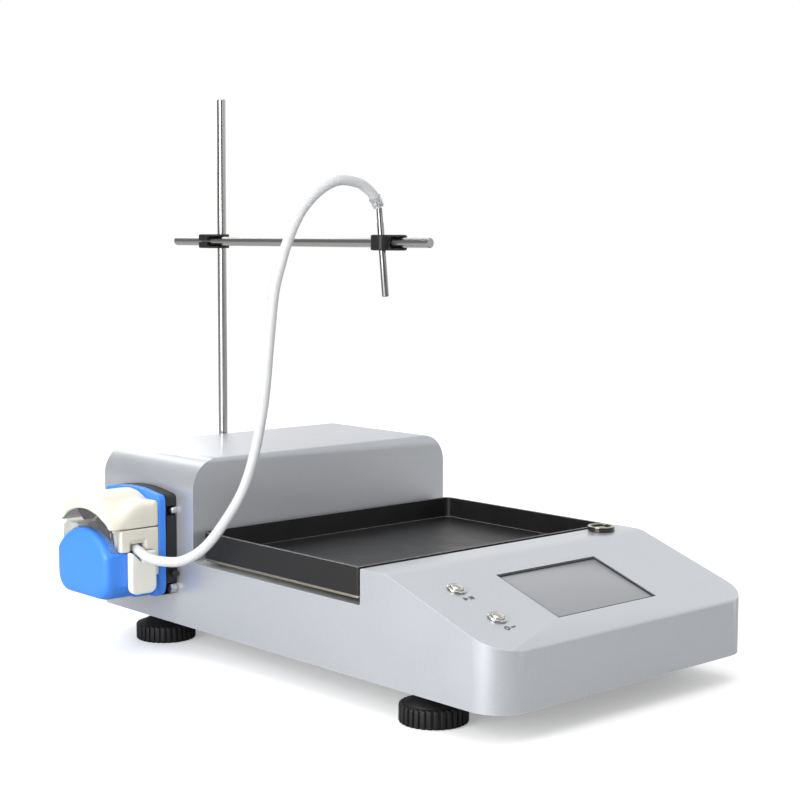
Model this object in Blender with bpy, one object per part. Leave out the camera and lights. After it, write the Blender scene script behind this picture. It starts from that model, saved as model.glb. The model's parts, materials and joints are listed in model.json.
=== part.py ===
"""Gravimetric dispenser: scale housing with a peristaltic pump head, a tray and a nozzle stand.

The front (sloped panel) faces -Y, the pump head is on the -X side, +Z is up, the feet stand on Z = 0.
All dimensions below are in millimetres.
"""

import math

import bmesh
import bpy
from mathutils import Matrix, Vector

MM = 0.001

# Frame: the empty that carries every piece puts the middle of the footprint on the origin.
FRAME_SHIFT = (31.5, -32.0, 0.0)

# Housing
HALF_W = 140.0
FRONT_Y = -237.0
REAR_Y = 237.0
BODY_Z = 22.3
WALL = 2.5
LIP_Z = 65.3
KINK_Y = -126.0
PANEL_TOP_Z = 102.9
DECK_FRONT_Y = -98.6
DECK_Z = 76.0
BOX_Y = 106.7
BOX_Z = 160.3
CORNER_R = 25.0
SLOPE = math.atan2(PANEL_TOP_Z - LIP_Z, KINK_Y - FRONT_Y)
GAP = 0.3

# Front panel
SCREEN_X = (-53.7, 55.0)
SCREEN_S = (25.5, 91.0)
BUTTON_X = -101.7
BUTTON_S = (33.6, 76.1)
LEVEL_XY = (109.0, -110.6)

# Tray and load path
TRAY_X = 137.6
TRAY_Y = (-94.0, 98.5)
TRAY_Z = (81.5, 103.0)
TRAY_FLOOR_Z = 85.5
TRAY_WALL = 2.0

# Feet
FOOT_X = 120.0
FOOT_Y = (-155.0, 175.5)
FOOT_R = 25.0
FOOT_RIBS = 32

# Pump head
AXIS_Y = 169.0
AXIS_Z = 88.0
ORBIT_R = 17.1
ROLLER_R = 6.2
ROLLERS = 4
TUBE_R = 4.0
BED_R = 25.5
FLAT_HALF = 1.8
FLAT_WIDE = 5.5
BED_ANGLE = 50.0
TUBE_X = -177.4
HINGE_YZ = (205.5, 108.5)
SHOULDER = (24.5, 21.2)

# Stand
ROD_R = 4.0
MAST_XY = (-7.6, 245.0)
MAST_Z = (112.0, 462.0)
ARM_X = -17.5
ARM_Z = 335.0
ARM_Y = (-41.0, 301.0)
CLIP_H = 12.6
NOZZLE_Y = 7.5
NOZZLE_X = -25.5
NOZZLE_REF_Z = 337.0
NOZZLE_Z = (292.0, 362.3)
NOZZLE_TILT = math.radians(5.7)
NOZZLE_R = 2.75

# Finishes: base colour, metallic, roughness
FINISH = {
    "silver": ((0.62, 0.64, 0.67), 0.6, 0.35),
    "black": ((0.02, 0.02, 0.022), 0.0, 0.45),
    "tray": ((0.03, 0.03, 0.032), 0.0, 0.3),
    "blue": ((0.08, 0.32, 0.85), 0.0, 0.35),
    "cream": ((0.86, 0.81, 0.68), 0.0, 0.45),
    "steel": ((0.55, 0.55, 0.56), 1.0, 0.25),
    "chrome": ((0.8, 0.8, 0.8), 1.0, 0.1),
    "brass": ((0.65, 0.5, 0.28), 1.0, 0.35),
    "alu": ((0.7, 0.71, 0.73), 1.0, 0.4),
    "clear": ((0.9, 0.93, 0.95), 0.0, 0.05),
    "screen": ((0.35, 0.35, 0.36), 0.0, 0.15),
    "board": ((0.02, 0.2, 0.08), 0.0, 0.5),
    "silicone": ((0.85, 0.87, 0.88), 0.0, 0.4),
}


def clear_scene():
    for obj in list(bpy.data.objects):
        bpy.data.objects.remove(obj, do_unlink=True)


def finish(name, key):
    colour, metallic, roughness = FINISH[key]
    material = bpy.data.materials.new(name + "_finish")
    material.use_nodes = True
    shader = material.node_tree.nodes["Principled BSDF"]
    shader.inputs["Base Color"].default_value = (*colour, 1.0)
    shader.inputs["Metallic"].default_value = metallic
    shader.inputs["Roughness"].default_value = roughness
    return material


def node(name, bm, key, origin=(0.0, 0.0, 0.0)):
    """Makes the named piece from a bmesh in millimetres, with its origin where it turns or slides."""
    bmesh.ops.recalc_face_normals(bm, faces=bm.faces)
    bm.transform(Matrix.Translation(-Vector(origin)))
    bm.transform(Matrix.Scale(MM, 4))
    mesh = bpy.data.meshes.new(name)
    bm.to_mesh(mesh)
    bm.free()
    for face in mesh.polygons:
        face.use_smooth = True
    mesh.set_sharp_from_angle(angle=math.radians(32))
    mesh.materials.append(finish(name, key))
    obj = bpy.data.objects.new(name, mesh)
    bpy.context.scene.collection.objects.link(obj)
    obj.parent = FRAME
    obj.location = Vector(origin) * MM
    return obj


def arc(cx, cy, r, start, end, steps):
    """Points of an arc, angles in degrees."""
    found = []
    for i in range(steps + 1):
        t = math.radians(start + (end - start) * i / steps)
        found.append((cx + r * math.cos(t), cy + r * math.sin(t)))
    return found


def rounded(points, radii, steps=6):
    """The polygon with each corner turned into an arc of its own radius."""
    found = []
    count = len(points)
    for i, (point, r) in enumerate(zip(points, radii)):
        if r <= 0:
            found.append(point)
            continue
        p = Vector(point)
        a = (Vector(points[i - 1]) - p).normalized()
        b = (Vector(points[(i + 1) % count]) - p).normalized()
        half = a.angle(b) / 2
        reach = r / math.tan(half)
        centre = p + (a + b).normalized() * (r / math.sin(half))
        first = p + a * reach - centre
        last = p + b * reach - centre
        turn = first.angle_signed(last)
        for k in range(steps + 1):
            t = -turn * k / steps
            x = first.x * math.cos(t) - first.y * math.sin(t)
            y = first.x * math.sin(t) + first.y * math.cos(t)
            found.append((centre.x + x, centre.y + y))
    return found


def inset(points, distance):
    """The polygon moved inwards by the distance, corners mitred (points run anticlockwise)."""
    found = []
    count = len(points)
    for i in range(count):
        before = Vector(points[i - 1])
        here = Vector(points[i])
        after = Vector(points[(i + 1) % count])
        a = (here - before).normalized()
        b = (after - here).normalized()
        normal_a = Vector((-a.y, a.x))
        normal_b = Vector((-b.y, b.x))
        mitre = normal_a + normal_b
        mitre = mitre / mitre.dot(normal_a)
        found.append(tuple(here + mitre * distance))
    return found


def spot(axis, u, v, w):
    """A 3-D point from a section point (u, v) and the distance w along the axis."""
    if axis == "X":
        return (w, u, v)
    if axis == "Y":
        return (u, w, v)
    return (u, v, w)


def loft(rings, closed=True):
    """A solid through rings of equal length, capped at both ends."""
    bm = bmesh.new()
    rows = []
    for ring in rings:
        rows.append([bm.verts.new(point) for point in ring])
    count = len(rows[0])
    for low, high in zip(rows[:-1], rows[1:]):
        for i in range(count):
            j = (i + 1) % count
            bm.faces.new((low[i], low[j], high[j], high[i]))
    if closed:
        bm.faces.new(list(reversed(rows[0])))
        bm.faces.new(rows[-1])
    bmesh.ops.recalc_face_normals(bm, faces=bm.faces)
    return bm


def prism(points, axis, start, end):
    low = [spot(axis, u, v, start) for u, v in points]
    high = [spot(axis, u, v, end) for u, v in points]
    return loft([low, high])


def box(lo, hi, bevel=0.0, segments=2):
    points = [(lo[0], lo[1]), (hi[0], lo[1]), (hi[0], hi[1]), (lo[0], hi[1])]
    bm = prism(points, "Z", lo[2], hi[2])
    if bevel > 0:
        bmesh.ops.bevel(bm, geom=bm.edges[:], offset=bevel, segments=segments, profile=0.5, affect="EDGES")
    return bm


def lathe(profile, steps=32, base=(0.0, 0.0, 0.0), axis=(0.0, 0.0, 1.0), ring=False):
    """Turns (radius, height) points round the axis. A ring profile is a closed loop away from the axis."""
    bm = bmesh.new()
    columns = []
    for r, h in profile:
        if r <= 1e-6:
            columns.append([bm.verts.new((0.0, 0.0, h))])
            continue
        column = []
        for i in range(steps):
            t = 2 * math.pi * i / steps
            column.append(bm.verts.new((r * math.cos(t), r * math.sin(t), h)))
        columns.append(column)
    pairs = list(zip(columns[:-1], columns[1:]))
    if ring:
        pairs.append((columns[-1], columns[0]))
    for a, b in pairs:
        for i in range(steps):
            j = (i + 1) % steps
            corners = [a[i % len(a)], a[j % len(a)], b[j % len(b)], b[i % len(b)]]
            corners = list(dict.fromkeys(corners))
            if len(corners) > 2:
                bm.faces.new(corners)
    bmesh.ops.recalc_face_normals(bm, faces=bm.faces)
    turn = Vector((0.0, 0.0, 1.0)).rotation_difference(Vector(axis)).to_matrix().to_4x4()
    bm.transform(Matrix.Translation(Vector(base)) @ turn)
    return bm


def rod(r, start, end, steps=24):
    """A plain round bar between two points."""
    a = Vector(start)
    b = Vector(end)
    length = (b - a).length
    return lathe([(0.0, 0.0), (r, 0.0), (r, length), (0.0, length)], steps, a, (b - a).normalized())


def combined(a, b, operation):
    """The Boolean of two bmeshes, as a new bmesh."""
    helpers = []
    for bm in (a, b):
        bmesh.ops.recalc_face_normals(bm, faces=bm.faces)
        mesh = bpy.data.meshes.new("helper")
        bm.to_mesh(mesh)
        bm.free()
        obj = bpy.data.objects.new("helper", mesh)
        bpy.context.scene.collection.objects.link(obj)
        helpers.append(obj)
    modifier = helpers[0].modifiers.new("join", "BOOLEAN")
    modifier.operation = operation
    modifier.solver = "EXACT"
    modifier.object = helpers[1]
    graph = bpy.context.evaluated_depsgraph_get()
    graph.update()
    mesh = bpy.data.meshes.new_from_object(helpers[0].evaluated_get(graph))
    out = bmesh.new()
    out.from_mesh(mesh)
    bpy.data.meshes.remove(mesh)
    for obj in helpers:
        data = obj.data
        bpy.data.objects.remove(obj, do_unlink=True)
        bpy.data.meshes.remove(data)
    bmesh.ops.remove_doubles(out, verts=out.verts, dist=1e-4)
    bmesh.ops.dissolve_degenerate(out, edges=out.edges, dist=1e-4)
    return out


def minus(a, *cutters):
    for cutter in cutters:
        a = combined(a, cutter, "DIFFERENCE")
    return a


def plus(a, *others):
    for other in others:
        a = combined(a, other, "UNION")
    return a


def common(a, b):
    return combined(a, b, "INTERSECT")


def panel(s, height):
    """(Y, Z) of the point s down the slope from the kink and height above the panel."""
    y = KINK_Y - s * math.cos(SLOPE) - height * math.sin(SLOPE)
    z = PANEL_TOP_Z - s * math.sin(SLOPE) + height * math.cos(SLOPE)
    return (y, z)


PANEL_NORMAL = (0.0, -math.sin(SLOPE), math.cos(SLOPE))


def panel_block(x0, x1, s0, s1, h0, h1):
    corners = [panel(s0, h0), panel(s0, h1), panel(s1, h1), panel(s1, h0)]
    return prism(corners, "X", x0, x1)


def plan_outline(half_w, front, rear, front_r, rear_r, steps=6):
    corners = [(-half_w, front), (half_w, front), (half_w, rear), (-half_w, rear)]
    return rounded(corners, [front_r, front_r, rear_r, rear_r], steps)


def housing_block(side, extend):
    """The outer block of the housing, moved in by side. extend opens it below and behind."""
    outline = [
        (FRONT_Y, BODY_Z),
        (REAR_Y, BODY_Z),
        (REAR_Y, BOX_Z),
        (BOX_Y, BOX_Z),
        (BOX_Y, DECK_Z),
        (DECK_FRONT_Y, DECK_Z),
        (DECK_FRONT_Y, PANEL_TOP_Z),
        (KINK_Y, PANEL_TOP_Z),
        (FRONT_Y, LIP_Z),
    ]
    radii = [0, 0, 0, 1.6, 4.0, 1.5, 1.2, 30.0, 2.5]
    if side > 0:
        outline = inset(outline, side)
        radii = [0, 0, 0, 4.0, 1.5, 3.5, 0, 28.0, 0.5]
    if extend:
        outline[0] = (outline[0][0], BODY_Z - 12)
        outline[1] = (REAR_Y + 12, BODY_Z - 12)
        outline[2] = (REAR_Y + 12, outline[2][1])
    profile = rounded(outline, radii, 4)
    body = prism(profile, "X", -HALF_W - 8, HALF_W + 8)
    half = HALF_W - side
    r = CORNER_R - side
    plan = prism(plan_outline(half, FRONT_Y + side, REAR_Y + 30, r, 0, 8), "Z", -20, 200)
    top = BOX_Z - side
    arch = rounded([(-half, -30), (half, -30), (half, top), (-half, top)], [0, 0, r, r], 8)
    body = common(body, plan)
    return common(body, prism(arch, "Y", -300, 300))


def build_housing():
    body = minus(housing_block(0, False), housing_block(WALL, True))
    screen = panel_block(SCREEN_X[0], SCREEN_X[1], SCREEN_S[0], SCREEN_S[1], -8, 8)
    body = minus(body, screen)
    for s in BUTTON_S:
        y, z = panel(s, -6)
        y2, z2 = panel(s, 6)
        body = minus(body, rod(6.2, (BUTTON_X, y, z), (BUTTON_X, y2, z2)))
    x, y = LEVEL_XY
    body = minus(body, rod(8.7, (x, y, 95), (x, y, 110), 32))
    body = minus(body, rod(12.0, (0, 2, 60), (0, 2, 90), 32))
    body = minus(body, rod(15.0, (-150, AXIS_Y, AXIS_Z), (-130, AXIS_Y, AXIS_Z), 32))
    node("main_housing", body, "silver")

    plate = prism(plan_outline(137.2, -234.2, 234.2, 22.2, 0, 6), "Z", BODY_Z, 24.3)
    for x in (-FOOT_X, FOOT_X):
        for y in FOOT_Y:
            plate = minus(plate, rod(4.4, (x, y, 15), (x, y, 30)))
    node("base_plate", plate, "silver")

    arch = rounded(
        [(-137.2, 24.6), (137.2, 24.6), (137.2, 157.5), (-137.2, 157.5)], [0, 0, 22.2, 22.2], 6
    )
    back = prism(arch, "Y", 234.5, 236.7)
    back = minus(back, box((60, 230, 38), (90, 240, 62)))
    node("rear_panel", back, "silver")


def build_panel_parts():
    x0, x1 = SCREEN_X
    s0, s1 = SCREEN_S
    node("screen_glass", panel_block(x0 + GAP, x1 - GAP, s0 + GAP, s1 - GAP, -3.1, -1.6), "screen")
    node("display_module", panel_block(x0 - 4, x1 + 4, s0 - 4, s1 + 4, -10, -3.4), "black")
    for tag, s in zip(("upper", "lower"), BUTTON_S):
        y, z = panel(s, 0)
        base = (BUTTON_X, y, z)
        ring = [
            (4.9, -14.0), (5.8, -14.0), (5.8, 0.3), (7.25, 0.3), (7.25, 0.9), (6.6, 1.6), (5.6, 1.6), (4.9, 1.2)
        ]
        node("button_bush_" + tag, lathe(ring, 20, base, PANEL_NORMAL, True), "chrome", base)
        cap = [(0.0, -10.0), (4.6, -10.0), (4.6, 1.5), (4.2, 2.1), (3.0, 2.6), (1.5, 2.85), (0.0, 2.9)]
        node("button_" + tag, lathe(cap, 20, base, PANEL_NORMAL), "chrome", base)
    x, y = LEVEL_XY
    z = PANEL_TOP_Z
    ring = [
        (7.5, -8.0), (8.4, -8.0), (8.4, 0.3), (11.0, 0.3), (11.0, 3.6), (10.4, 4.4), (8.0, 4.4), (7.5, 3.8)
    ]
    node("level_ring", lathe(ring, 28, (x, y, z), ring=True), "brass")
    vial = [(0.0, -8.0), (7.1, -8.0), (7.1, 2.2), (5.0, 2.9), (2.5, 3.2), (0.0, 3.3)]
    node("level_glass", lathe(vial, 20, (x, y, z)), "clear")


def build_load_path():
    outline = plan_outline(TRAY_X, TRAY_Y[0], TRAY_Y[1], 2.5, 7.0, 5)
    tray = prism(outline, "Z", TRAY_Z[0], TRAY_Z[1])
    w = TRAY_WALL
    upper = plan_outline(TRAY_X - w, TRAY_Y[0] + w, TRAY_Y[1] - w, 1.5, 5.0, 5)
    tray = minus(tray, prism(upper, "Z", TRAY_FLOOR_Z, TRAY_Z[1] + 5))
    under = plan_outline(TRAY_X - w, TRAY_Y[0] + w, TRAY_Y[1] - w, 1.5, 5.0, 2)
    tray = minus(tray, prism(under, "Z", TRAY_Z[0] - 5, TRAY_FLOOR_Z - 2))
    node("weighing_tray", tray, "tray", (0.0, 2.2, TRAY_Z[0]))

    plate = prism(plan_outline(136.8, -93.0, 97.5, 3.0, 6.0, 3), "Z", 79.7, 81.2)
    plate = plus(plate, rod(10.0, (0, 2, 59), (0, 2, 80.4), 32))
    plate = plus(plate, box((-9, -7, 58.5), (64.5, 11, 64)))
    plate = plus(plate, box((41, -7, 54.5), (64.5, 11, 60)))
    node("pan_support", plate, "brass")
    cell = box((-65, -13, 32), (65, 17, 54.2), 0.8, 1)
    for x in (-9, 9):
        cell = minus(cell, rod(7.0, (x, -20, 43), (x, 25, 43)))
    cell = minus(cell, box((-9, -20, 40), (9, 25, 46)))
    node("load_cell", cell, "alu")
    node("load_cell_base", box((-65, -13, 24.6), (-41, 17, 31.7), 0.6, 1), "steel")


def build_feet():
    for row, y in zip(("front", "rear"), FOOT_Y):
        for side, x in (("left", -FOOT_X), ("right", FOOT_X)):
            tag = row + "_" + side
            rings = []
            for z, cut in ((0.0, 0.8), (1.0, 0.0), (12.6, 0.0), (13.4, 1.2)):
                ring = []
                for i in range(2 * FOOT_RIBS):
                    t = math.pi * i / FOOT_RIBS
                    r = (FOOT_R if i % 2 == 0 else FOOT_R - 1.7) - cut
                    ring.append((x + r * math.cos(t), y + r * math.sin(t), z))
                rings.append(ring)
            foot = loft(rings)
            hub = [
                (0.0, 10.0), (20.5, 10.0), (20.5, 14.6), (12.5, 18.5),
                (11.0, 22.0), (4.0, 22.0), (4.0, 34.0), (0.0, 34.0)
            ]
            foot = plus(foot, lathe(hub, 20, (x, y, 0)))
            node("foot_" + tag, foot, "black", (x, y, 0.0))
            corners = [(x + u, y + v) for u, v in arc(0, 0, 7.5, 0, 300, 5)]
            nut = minus(prism(corners, "Z", 24.6, 30.6), rod(4.4, (x, y, 20), (x, y, 36)))
            node("foot_nut_" + tag, nut, "steel")


def build_drive():
    motor = box((-137.1, AXIS_Y - 28.2, AXIS_Z - 28.2), (-62, AXIS_Y + 28.2, AXIS_Z + 28.2), 3.0, 1)
    motor = plus(motor, rod(14.0, (-139.6, AXIS_Y, AXIS_Z), (-130, AXIS_Y, AXIS_Z), 32))
    motor = plus(motor, rod(4.0, (-173.0, AXIS_Y, AXIS_Z), (-135, AXIS_Y, AXIS_Z)))
    node("stepper_motor", motor, "black")
    node("power_supply", box((8, 128, 30), (108, 212, 68), 1.0, 1), "alu")
    board = box((-70, -222, 34), (70, -128, 35.6))
    board = plus(board, box((-40, -200, 35), (-15, -175, 38)), box((10, -190, 35), (34, -160, 41)))
    board = plus(board, box((-60, -150, 35), (-20, -140, 44)), box((45, -215, 35), (62, -140, 39)))
    node("control_board", board, "board")
    inlet = box((60.3, 216, 38.3), (89.7, 238, 61.7))
    inlet = plus(inlet, box((56, 237, 35), (94, 239, 65)))
    inlet = minus(inlet, box((64, 222, 42.5), (86, 245, 57.5)))
    node("power_inlet", inlet, "black")


def flange_outline(grow):
    """Outline (Y, Z) of the mounting flange of the pump head: rounded below, a flat arch on top."""
    low = 46.0 - grow
    left = 129.5 - grow
    right = 208.5 + grow
    corners = rounded([(left, low), (right, low), (right, 90.0), (left, 90.0)], [10.0, 10.0, 0, 0], 5)
    lower = corners[:-2]
    top = arc(AXIS_Y, -23.8 + grow, 157.8, 90 - 13.55, 90 + 13.55, 8)
    shoulder_r = rounded([(right, 100), (right, 130.0), (180, 133.0)], [0, 4.0, 0], 3)[1:-1]
    shoulder_l = [(2 * AXIS_Y - y, z) for y, z in reversed(shoulder_r)]
    top = [p for p in top if abs(p[0] - AXIS_Y) < 33]
    return lower + shoulder_r + top + shoulder_l


def lower_outline(low, high):
    """Outline (Y, Z) of the lower half of the pump head, a box with round lower corners."""
    points = [(131.5, low), (206.5, low), (206.5, high), (131.5, high)]
    return rounded(points, [15.0, 15.0, 0, 0], 6)


def dome_outline(scale):
    """Outline (Y, Z) of the front of the pump head: round lower corners and a dome on top."""
    low = rounded([(131.5, 49.0), (206.5, 49.0), (206.5, 80.0), (131.5, 80.0)], [15.0, 15.0, 0, 0], 6)
    start = math.degrees(math.asin(26.64 / 46.0))
    points = low[:-2] + arc(AXIS_Y, 58.5, 46.0, start, 180 - start, 20)
    found = []
    for y, z in points:
        found.append((AXIS_Y + (y - AXIS_Y) * scale, 75.0 + (z - 75.0) * scale))
    return found


def build_pump_body():
    centre = (AXIS_Y, AXIS_Z)
    plate = prism(flange_outline(0.0), "X", -150.0, -140.3)
    plate = minus(plate, rod(15.0, (-155, *centre), (-135, *centre), 32))
    plate = minus(plate, rod(5.2, (-155, 131.0, 52.5), (-135, 131.0, 52.5)))
    plate = minus(plate, rod(4.2, (-155, 130.5, 117.0), (-135, 130.5, 117.0)))
    node("pump_mount_plate", plate, "black")
    hexagon = [(131.8 + u, 52.5 + v) for u, v in arc(0, 0, 4.0, 0, 300, 5)]
    node("mount_nut", prism(hexagon, "X", -146.5, -140.3), "steel")
    screw = [(0.0, 0.0), (3.2, 0.0), (3.2, 3.6), (2.2, 4.8), (0.0, 5.2)]
    node("mount_screw", lathe(screw, 20, (-140.3, 131.5, 117.0), (-1.0, 0.0, 0.0)), "steel")
    knob = [(0.0, 0.0), (1.6, 0.0), (1.6, 1.2), (2.8, 1.6), (2.8, 4.0), (2.2, 4.6), (0.0, 4.6)]
    node("mount_knob", lathe(knob, 20, (-144.5, 129.2, 65.5), (0.0, -1.0, 0.0)), "black")

    rear = prism(flange_outline(0.0), "X", -157.5, -150.3)
    rear = plus(rear, prism(lower_outline(46.3, 87.0), "X", -171.85, -156.0))
    rear = minus(rear, rod(27.0, (-175, *centre), (-157.4, *centre), 48))
    rear = minus(rear, rod(15.0, (-160, *centre), (-145, *centre), 32))
    rear = minus(rear, rod(5.0, (TUBE_X, 120, 88.4), (TUBE_X, 218, 88.4)))
    rear = minus(rear, rod(5.0, (-170.2, 120, 88.4), (-170.2, 128, 88.4), 8))
    node("pump_rear_body", rear, "blue")

    front = prism(lower_outline(48.0, 87.0), "X", -200.0, -172.15)
    rings = []
    shape = ((-194.3, 1.0), (-201.5, 1.0), (-203.8, 0.985), (-205.8, 0.945), (-207.3, 0.86), (-208.0, 0.7))
    for x, scale in shape:
        rings.append([(x, y, z) for y, z in dome_outline(scale)])
    front = plus(front, loft(rings))
    front = minus(front, rod(27.0, (-194.1, *centre), (-165, *centre), 48))
    front = minus(front, rod(5.0, (TUBE_X, 120, 88.4), (TUBE_X, 218, 88.4)))
    node("pump_front_cover", front, "blue")

    pane = cover_outline(3.3)
    pane = [(y, min(z, 125.0)) for y, z in pane]
    pane = [(y, 87.3 if z < 106 else z) for y, z in pane]
    window = prism(pane, "X", -200.7, -199.2)
    for lo, hi in ((132.8, 134.3), (203.7, 205.2)):
        window = plus(window, box((-200.0, lo, 87.3), (-194.2, hi, 103.8)))
    window = minus(window, rod(46.4, (-210, AXIS_Y, 58.5), (-190, AXIS_Y, 58.5), 64))
    window = minus(window, rod(5.4, (-205, *HINGE_YZ), (-190, *HINGE_YZ)))
    node("clear_window", window, "clear")


def cover_outline(shrink):
    """Outline (Y, Z) of the flip cover: upright sides under a round top, moved in by shrink."""
    half = 39.5 - shrink
    r = 45.0 - shrink
    start = math.degrees(math.acos(half / r))
    points = arc(AXIS_Y, AXIS_Z, r, start, 180 - start, 18)
    return [(AXIS_Y - half, 105.8), (AXIS_Y + half, 105.8)] + points


def build_cover():
    rings = []
    for x, shrink in ((-157.8, 0.0), (-196.5, 0.0), (-200.3, 0.9), (-202.8, 3.0), (-204.0, 6.2)):
        rings.append([(x, y, z) for y, z in cover_outline(shrink)])
    cover = loft(rings)
    shoulder = arc(-172.0, 105.8, 1.0, 90, 180, 8)
    shoulder = [(-172.0 + (u + 172.0) * SHOULDER[0], 105.8 + (v - 105.8) * SHOULDER[1]) for u, v in shoulder]
    shoulder = rounded([(-157.8, 105.8), (-157.8, 127.0), (-172.0, 127.0)], [0, 2.0, 0], 3)[:-1] + shoulder
    for near, far in ((129.5, 146.0), (192.0, 208.5)):
        cover = plus(cover, prism(shoulder, "Y", near, far))
    hollow = [(y, z if z > 106 else 100.0) for y, z in cover_outline(3.0)]
    cover = minus(cover, prism(hollow, "X", -201.0, -150.0))
    cover = minus(cover, rod(54.75, (-210, AXIS_Y, 65.25), (-200.5, AXIS_Y, 65.25), 64))
    pivot = (-180.0, *HINGE_YZ)
    node("flip_cover", cover, "cream", pivot)
    sector = arc(AXIS_Y, AXIS_Z, 27.6, 180 - 40, 40, 16) + arc(AXIS_Y, AXIS_Z, 41.7, 40, 140, 12)
    node("occlusion_bed", prism(sector, "X", -190.0, -164.0), "cream", pivot)


def build_tube_holders():
    for tag, side, top in (("outlet", -1, 105.2), ("inlet", 1, 103.9)):

        def at(y):
            return AXIS_Y + side * (y - AXIS_Y) * -1.0

        def block(lo, hi, bevel=0.0):
            a, b = sorted((at(lo[1]), at(hi[1])))
            return box((lo[0], a, lo[2]), (hi[0], b, hi[2]), bevel, 1)

        holder = block((-193.0, 129.5, 87.5), (-157.8, 144.0, top))
        holder = plus(holder, block((-162.7, 129.5, 66.0), (-157.8, 131.2, 90.0)))
        slot = [(118, 80), (118, 92.8), (130, 92.8), (137, 97), (146.5, 106.5), (152, 106.5), (152, 80)]
        slot = [(at(y), z) for y, z in slot]
        holder = minus(holder, prism(slot, "X", TUBE_X - 6.2, TUBE_X + 6.2))
        holder = minus(holder, rod(28.0, (-200, AXIS_Y, AXIS_Z), (-150, AXIS_Y, AXIS_Z), 48))
        recess = [(-187.0, 80.0), (-185.0, 96.5), (-170.0, 96.5), (-168.0, 80.0)]
        a, b = sorted((at(120.0), at(131.0)))
        holder = minus(holder, prism(recess, "Y", a, b))
        node("tube_holder_" + tag, holder, "cream")

        outline = rounded([(-187.0, 53.0), (-163.0, 53.0), (-163.0, 87.2), (-187.0, 87.2)], [6, 6, 0, 0], 5)
        a, b = sorted((at(124.5), at(131.2)))
        clamp = prism(outline, "Y", a, b)
        groove = [(TUBE_X - 10.6, 90.0), (TUBE_X, 79.4), (TUBE_X + 10.6, 90.0)]
        clamp = minus(clamp, prism(groove, "Y", a - 5, b + 5))
        node("tube_clamp_" + tag, clamp, "cream", (TUBE_X, at(128.0), 70.0))


def head_path():
    """Stations of the tube inside the head: (Y, Z, tangent Y, tangent Z, flatness)."""
    leg = [(131.1, 88.35), (134.6, 89.8), (138.2, 92.1), (141.5, 95.0), (144.5, 98.2), (147.1, 101.4)]
    points = [(y, z, i / 6.0) for i, (y, z) in enumerate(leg)]
    for y, z in arc(AXIS_Y, AXIS_Z, BED_R, 90 + BED_ANGLE, 90 - BED_ANGLE, 14):
        points.append((y, z, 1.0))
    for i, (y, z) in reversed(list(enumerate(leg))):
        points.append((2 * AXIS_Y - y, z, i / 6.0))
    return points


def build_head_tube():
    points = head_path()
    rings = []
    sides = 12
    for i, (y, z, flat) in enumerate(points):
        before = points[max(i - 1, 0)]
        after = points[min(i + 1, len(points) - 1)]
        along = Vector((0.0, after[0] - before[0], after[1] - before[1])).normalized()
        across = Vector((1.0, 0.0, 0.0)).cross(along)
        ease = flat * flat * (3 - 2 * flat)
        thin = TUBE_R + (FLAT_HALF - TUBE_R) * ease
        wide = TUBE_R + (FLAT_WIDE - TUBE_R) * ease
        ring = []
        for k in range(sides):
            t = 2 * math.pi * k / sides
            p = Vector((TUBE_X, y, z)) + across * (thin * math.cos(t))
            ring.append(p + Vector((wide * math.sin(t), 0.0, 0.0)))
        rings.append(ring)
    node("head_tube", loft(rings), "silicone")


def build_rotor():
    centre = Vector((0.0, AXIS_Y, AXIS_Z))
    wheel = [
        (0.0, 0.0), (9.0, 0.0), (9.0, 2.0), (20.5, 2.0), (20.5, 4.4), (9.0, 4.4), (9.0, 27.6), (20.5, 27.6),
        (20.5, 30.0), (8.0, 30.0), (8.0, 32.0), (4.4, 32.0), (4.4, 19.0), (0.0, 19.0)
    ]
    rotor = lathe(wheel, 24, (-193.0, AXIS_Y, AXIS_Z), (1.0, 0.0, 0.0))
    for i in range(ROLLERS):
        t = 2 * math.pi * i / ROLLERS
        offset = Vector((0.0, ORBIT_R * math.cos(t), ORBIT_R * math.sin(t)))
        spot_at = centre + offset
        start = spot_at + Vector((-195.0, 0.0, 0.0))
        end = spot_at + Vector((-155.0, 0.0, 0.0))
        rotor = minus(rotor, rod(2.3, start, end, 10))
        pin = [
            (0.0, 0.0), (2.0, 0.0), (2.0, 3.0), (ROLLER_R, 3.0), (ROLLER_R, 25.2), (2.0, 25.2), (2.0, 28.2), (0.0, 28.2)
        ]
        base = spot_at + Vector((-191.2, 0.0, 0.0))
        name = "roller_" + "abcd"[i]
        middle = tuple(spot_at + Vector((TUBE_X, 0.0, 0.0)))
        node(name, lathe(pin, 16, base, (1.0, 0.0, 0.0)), "alu", middle)
    node("rotor", rotor, "steel", (TUBE_X, AXIS_Y, AXIS_Z))


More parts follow.
